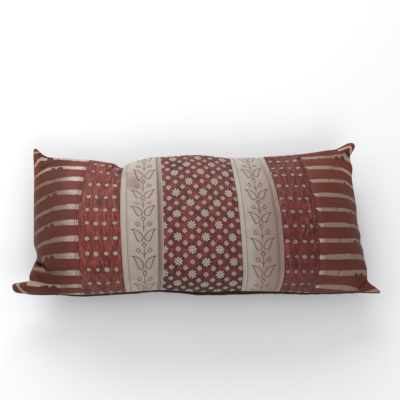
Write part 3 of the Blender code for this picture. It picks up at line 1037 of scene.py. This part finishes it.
def spaced(start, end, step, close_start, close_end):
    """Places from start to end, close together where an edge is rounded."""
    first = [start + place for place in CLOSE_ROWS] if close_start else [start]
    last = [end - place for place in reversed(CLOSE_ROWS)] if close_end else [end]
    count = max(2, int(round((last[0] - first[-1]) / step)))
    between = np.linspace(first[-1], last[0], count + 1)[1:-1]
    return np.array(first + list(between) + last)


def outward(cloth, share, is_front):
    """Directions straight out of the cover."""
    small = 0.0006
    left = dressed(np.maximum(cloth - small, -HALF_LENGTH), share, is_front)
    right = dressed(np.minimum(cloth + small, HALF_LENGTH), share, is_front)
    low = dressed(cloth, np.maximum(share - small, 0), is_front)
    high = dressed(cloth, np.minimum(share + small, 1), is_front)
    out = np.cross(right - left, high - low)
    out /= np.maximum(np.linalg.norm(out, axis=-1, keepdims=True), 1e-12)
    return out if is_front else -out


def make_mesh(name, vertices, faces, material, cloth_places, motif_places):
    """One piece with the numbers that its material reads, which repeat from its top to its underside."""
    mesh = bpy.data.meshes.new(name)
    mesh.from_pydata([tuple(point) for point in vertices], [], faces)
    for label, values in (("cloth", cloth_places), ("motif", motif_places)):
        attribute = mesh.attributes.new(label, "FLOAT_VECTOR", "POINT")
        every = np.resize(values, len(vertices) * 3).astype(np.float32)
        attribute.data.foreach_set("vector", every)
    mesh.update()
    mesh.polygons.foreach_set("use_smooth", [True] * len(mesh.polygons))
    mesh.materials.append(material)
    item = bpy.data.objects.new(name, mesh)
    bpy.context.scene.collection.objects.link(item)
    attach(item, "root")
    return item


def closed_between(top, bottom):
    """Corners and faces of the solid between two grids of the same size, with a wall round the rim."""
    across, up = top.shape[:2]
    vertices = np.concatenate([top.reshape(-1, 3), bottom.reshape(-1, 3)])
    under = across * up
    faces = []
    for i in range(across - 1):
        for j in range(up - 1):
            a = i * up + j
            b = (i + 1) * up + j
            faces.append((a, b, b + 1, a + 1))
            faces.append((under + a, under + a + 1, under + b + 1, under + b))
    rim = [i * up for i in range(across)]
    rim += [(across - 1) * up + j for j in range(1, up)]
    rim += [i * up + up - 1 for i in range(across - 2, -1, -1)]
    rim += [j for j in range(up - 2, 0, -1)]
    for here, after in zip(rim, rim[1:] + rim[:1]):
        faces.append((here, under + here, under + after, after))
    return vertices, faces


# Where a pattern's middle column lies and how wide a column is, in millimetres, and how many known
# places there are to a row.
Motif = namedtuple("Motif", "middle pitch places")
MOTIFS = {
    "stripe_left": Motif(0, 1, 1),
    "stripe_right": Motif(0, 1, 1),
    "dots_left": Motif(20, 19.8, 1),
    "dots_right": Motif(7.2, 16.8, 1),
    "stars": Motif(88, STAR_COLUMN, 1),
    "leaves_left": Motif(BAND_LEFT.middle, 1, 2),
    "leaves_right": Motif(BAND_RIGHT.middle, 1, 2),
}


def motif_numbers(panel, cloth, share):
    """What the panel's material needs: the column, the row and the width of a column."""
    motif = MOTIFS[panel.pattern]
    column = ((cloth - panel.start) / MM - motif.middle) / motif.pitch
    row = rows_at(panel.pattern, cloth, share) / motif.places
    return np.stack([column, row, np.full_like(column, motif.pitch)], axis=-1)


# The tucks along the bands' right sides, in millimetres.
Tuck = namedtuple("Tuck", "x width depth")
TUCKS = {"leaves_left": Tuck(BAND_LEFT.fold, 3.4, 3.4), "leaves_right": Tuck(BAND_RIGHT.fold, 2, 1)}


def relief_of(panel, cloth, share):
    """Height of one panel's cloth above the plain form of the cover, in metres."""
    height = slack(cloth, share) + seam_puckers(cloth, share) + folds_at(cloth, share) + panel.lift
    if panel.pattern.startswith("dots"):
        to_edge = np.minimum(cloth - panel.start, panel.end - cloth)
        height = height + crinkles(cloth, share) * (0.45 + 0.55 * part_of(to_edge / 0.008))
    if panel.pattern in TUCKS:
        tuck = TUCKS[panel.pattern]
        away = (cloth - panel.start) / MM - tuck.x
        height = height - tuck.depth * MM * bell(away / tuck.width)
    for edge, place, direction in ((panel.left, panel.start, 1), (panel.right, panel.end, -1)):
        inward = (cloth - place) * direction
        if edge == "under":
            height = height - UNDER_DROP * eased(part_of((0.0015 - inward) / 0.004))
        if edge == "over":
            height = height - (panel.lift + 0.0008) * (1 - rim_round(inward, 0.0022))
            pucker = rough(share * COVER_HEIGHT / 0.0065, cloth * 0 + place * 100, 61)
            height = height + 0.0005 * pucker * np.exp(-inward / 0.006)
    return height


def ragged(panel, cloth, share):
    """The sewn laps of the crinkled cloth run unevenly."""
    moved = cloth.copy()
    if panel.pattern.startswith("dots"):
        up = share * COVER_HEIGHT
        for edge, place, direction in ((panel.left, panel.start, 1), (panel.right, panel.end, -1)):
            if edge == "over":
                inward = (cloth - place) * direction
                wave = 0.0012 * rough(up / 0.011, up * 0, 71) + 0.0005 * rough(up / 0.004, up * 0, 72)
                moved = moved - direction * (0.0012 + wave) * np.exp(-inward / 0.005)
    return moved


def make_panel(panel, material):
    """One cloth of the patchwork, as a thin shell over the cover."""
    start = panel.start - (LAP if panel.left == "under" else 0.0)
    end = panel.end + (LAP if panel.right == "under" else 0.0)
    columns = spaced(start, end, panel.step, panel.left != "under", panel.right != "under")
    rows = spaced(0, COVER_HEIGHT, panel.step * 1.15, True, True) / COVER_HEIGHT
    cloth, share = np.meshgrid(columns, rows, indexing="ij")
    height = relief_of(panel, cloth, share)
    laid = ragged(panel, cloth, share)
    base = dressed(laid, share, True)
    out = outward(laid, share, True)
    inward = to_rim(cloth, share)
    rounded = rim_round(inward, RIM_ROUND)
    held = np.clip(inward / 0.01, 0.12, 1)
    top = base + out * (height * held)[..., None]
    top[..., 2] -= RIM_HALF * (1 - rounded)
    thick = panel.thickness * (0.25 + 0.75 * rounded)
    bottom = top - out * thick[..., None]
    vertices, faces = closed_between(top + SHIFT, bottom + SHIFT)
    crests = crinkles(cloth, share) / MM
    places = np.stack([(cloth - panel.start) / MM, share * COVER_HEIGHT / MM, crests], axis=-1)
    motif = motif_numbers(panel, cloth, share)
    piece = make_mesh(panel.name + "_cloth", vertices, faces, material, places, motif)
    return piece


# The back rolls out a little under the lower seam, a dark edge put where the shade under the cushion falls.
ROLL_OUT = 0.0066
ROLL_AT = 0.01


def rolled_out(cloth, share):
    """How far the back's stuffing rolls out under the lower seam, between the ears."""
    part = share * COVER_HEIGHT / ROLL_AT
    between = part_of((HALF_LENGTH - np.abs(cloth) - 0.012) / 0.03)
    fuller = 1 + 0.55 * bell((cloth - 0.07) / 0.1)
    return ROLL_OUT * fuller * (part * np.exp(1 - part))**1.5 * between


def make_body(material):
    """The filled cover under the front's cloths, whose back and edge show."""
    columns = spaced(-HALF_LENGTH, HALF_LENGTH, 0.0042, True, True)
    rows = spaced(0, COVER_HEIGHT, 0.0042, True, True) / COVER_HEIGHT
    cloth, share = np.meshgrid(columns, rows, indexing="ij")
    inward = to_rim(cloth, share)
    rounded = rim_round(inward, RIM_ROUND)
    top = dressed(cloth, share, True)
    top -= outward(cloth, share, True) * (0.005 * np.clip(inward / 0.012, 0.12, 1))[..., None]
    top[..., 2] -= RIM_HALF * (1 - rounded)
    back = dressed(cloth, share, False)
    resting = part_of((back[..., 2] - back[..., 2].min()) / 0.012)
    puckered = (seam_puckers(cloth, share) * 0.8 + slack(-cloth, share)) * resting
    back += outward(cloth, share, False) * (puckered * np.clip(inward / 0.01, 0.12, 1))[..., None]
    back[..., 2] += RIM_HALF * (1 - rounded)
    back[..., 1] -= rolled_out(cloth, share)
    vertices, faces = closed_between(top + SHIFT, back + SHIFT)
    vertices[:, 2] = np.maximum(vertices[:, 2], 0)
    places = np.stack([cloth / MM, share * COVER_HEIGHT / MM, cloth * 0], axis=-1)
    body = make_mesh("cushion_body", vertices, faces, material, places, np.zeros(3))
    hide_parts("cushion")
    return body


# Loose threads, in millimetres: their root on the cloth, where they run to and how far they curl.
Thread = namedtuple("Thread", "cloth share run_x run_y curl colour")
THREADS = (
    Thread(-195, 0.01, 2, -9, 1.2, "pale"),
    Thread(187.5, 0.8, -4, 12, 4, "pale"),
    Thread(-254, 0.29, 4, 7, 2.8, "pale"),
    Thread(-250, 0.196, 3, 6, -2.6, "pale"),
    Thread(-251, 0.11, -2, 9, 3, "pale"),
    Thread(-253, 0.098, 5, 3, -2.2, "pale"),
    Thread(-251.5, 0.34, -4, 8, 1.8, "dark"),
    Thread(258.5, 0.46, 3, 8, -2.2, "dark"),
    Thread(257.5, 0.3, 4, -7, 2, "pale"),
    Thread(256.5, 0.62, 4, 6, 2, "dark"),
)
THREAD_RADIUS = 0.00042
THREAD_STEPS = 12
THREAD_SIDES = 6


def make_thread(number, thread, material):
    """A curled end of sewing thread that lies on the cloth."""
    part = np.linspace(0, 1, THREAD_STEPS)
    turn = np.sin(part * math.pi * 1.5) * thread.curl / math.hypot(thread.run_x, thread.run_y)
    cloth = (thread.cloth + thread.run_x * part - thread.run_y * turn) * MM
    up = (thread.run_y * part + thread.run_x * turn) * MM
    share = part_of(thread.share + up / COVER_HEIGHT)
    base = dressed(cloth, share, True)
    out = outward(cloth, share, True)
    height = 0.0026 + 0.0012 * np.sin(part * math.pi)
    path = base + out * height[:, None] + SHIFT
    ahead = np.gradient(path, axis=0)
    ahead /= np.linalg.norm(ahead, axis=1, keepdims=True)
    aside = np.cross(ahead, out)
    aside /= np.linalg.norm(aside, axis=1, keepdims=True)
    raised = np.cross(aside, ahead)
    rings = []
    for side in range(THREAD_SIDES):
        angle = 2 * math.pi * side / THREAD_SIDES
        rings.append(path + THREAD_RADIUS * (math.cos(angle) * aside + math.sin(angle) * raised))
    vertices = np.stack(rings, axis=1).reshape(-1, 3)
    faces = []
    for i in range(THREAD_STEPS - 1):
        for j in range(THREAD_SIDES):
            a = i * THREAD_SIDES + j
            b = i * THREAD_SIDES + (j + 1) % THREAD_SIDES
            faces.append((a, b, b + THREAD_SIDES, a + THREAD_SIDES))
    faces.append(tuple(reversed(range(THREAD_SIDES))))
    faces.append(tuple((THREAD_STEPS - 1) * THREAD_SIDES + j for j in range(THREAD_SIDES)))
    return make_mesh("thread_%02d" % number, vertices, faces, material, vertices / MM, np.zeros(3))


def make_threads():
    """The loose ends along the seams."""
    colours = {
        "pale": thread_cloth("pale_thread", (196, 172, 158)),
        "dark": thread_cloth("dark_thread", (64, 32, 28)),
    }
    for number, thread in enumerate(THREADS):
        make_thread(number, thread, colours[thread.colour])


def make_pieces():
    """All pieces of the cushion."""
    cloths = {
        "stripe_left": striped_cloth("striped_silk_left", True),
        "stripe_right": striped_cloth("striped_silk_right", False),
        "dots_left": dotted_cloth(
            "dotted_silk_left", 3.0, 0.0, 0.0, (94, 36, 30), (130, 58, 50), (172, 94, 84)
        ),
        # The right dotted silk is the left one in darker tones: painted shade of the side away from the light.
        "dots_right": dotted_cloth(
            "dotted_silk_right", 4.0, 72.0, 1.0, (76, 29, 24), (112, 48, 42), (152, 78, 70)
        ),
        "stars": star_cloth("star_brocade"),
        "leaves_left": band_cloth("cream_satin_left", BAND_LEFT, 3.0),
        "leaves_right": band_cloth("cream_satin_right", BAND_RIGHT, 43.0),
    }
    make_body(back_cloth("back_cotton"))
    for panel in PANELS:
        piece = make_panel(panel, cloths[panel.pattern])
        if panel.name.startswith("band"):
            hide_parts(panel.name)
        else:
            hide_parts("cushion")
    make_threads()


make_pieces()
